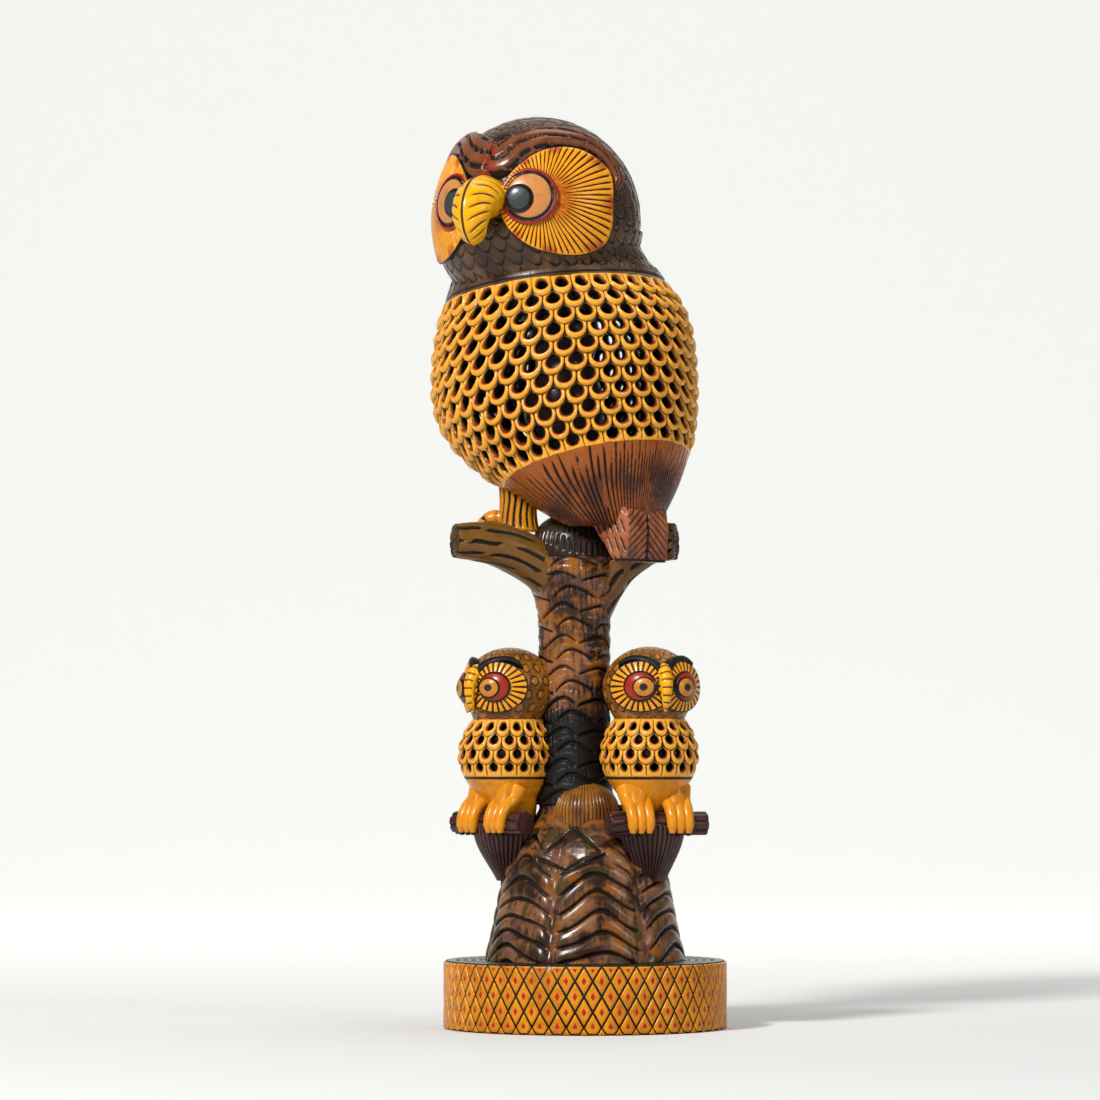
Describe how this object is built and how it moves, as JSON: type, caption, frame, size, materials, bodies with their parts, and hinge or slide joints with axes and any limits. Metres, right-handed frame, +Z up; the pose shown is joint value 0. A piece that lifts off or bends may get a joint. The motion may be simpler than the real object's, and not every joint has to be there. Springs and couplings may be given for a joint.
{
  "type": "carved wooden figurine",
  "caption": "Carved and lacquered wooden owl with a pierced lattice body holding a small figure, perched on a forked tree over two small pierced owls on a round base.",
  "frame": {"origin": "middle of the base's underside", "axes": "+Z up, -Y out of the front of the tree, +X to the left hand of the figurine"},
  "size_m": [0.1243, 0.1201, 0.378],
  "materials": {
    "base": "mustard lacquer with engraved diamonds, dark green top",
    "tree": "dark brown lacquer rubbed back to orange wood on the cut edges",
    "branch": "olive brown lacquer with grooves",
    "belly": "orange to grey brown lacquer with dark grooves",
    "jali": "orange brown lacquer with dark slits and red tints",
    "dark_wood": "dark brown stain",
    "feather": "grey brown lacquer with engraved feathers",
    "face": "orange yellow lacquer with dark radial cuts",
    "eye": "tan iris in a black and a red ring",
    "pupil": "grey with a black rim",
    "beak": "bright yellow lacquer with black cross strokes",
    "foot": "yellow brown lacquer with black grooves",
    "perch": "purple brown lacquer with tan ends"
  },
  "bodies": {
    "root": {"base_disc": "base", "tree_stump": "tree", "tree_trunk": "tree", "tree_crown": "tree", "branch_left": "branch", "branch_right": "branch", "branch_back": "branch", "owl_belly": "belly", "inner_owl": "dark_wood", "owl_collar": "feather", "owl_tail": "belly", "owl_leg_left": "foot", "owl_leg_right": "foot", "owl_face_left": "face", "owl_face_right": "face", "owl_eye_left": "eye", "owl_eye_right": "eye", "owl_pupil_left": "pupil", "owl_pupil_right": "pupil", "owl_brow": "feather", "owl_beak": "beak", "owl_head": "feather", "jali_panel_1": "jali", "jali_panel_2": "jali", "jali_panel_3": "jali", "jali_panel_4": "jali", "jali_panel_5": "jali", "jali_panel_6": "jali", "left_owlet_belly": "face", "left_owlet_jali": "jali", "left_owlet_core": "dark_wood", "left_owlet_head": "feather", "left_owlet_face": "face", "left_owlet_eye_left": "eye", "left_owlet_eye_right": "eye", "left_owlet_beak": "beak", "left_perch_corbel": "tree", "left_perch": "perch", "left_owlet_foot_left": "foot", "left_owlet_foot_right": "foot", "right_owlet_belly": "face", "right_owlet_jali": "jali", "right_owlet_core": "dark_wood", "right_owlet_head": "feather", "right_owlet_face": "face", "right_owlet_eye_left": "eye", "right_owlet_eye_right": "eye", "right_owlet_beak": "beak", "right_perch_corbel": "tree", "right_perch": "perch", "right_owlet_foot_left": "foot", "right_owlet_foot_right": "foot"}
  },
  "joints": []
}
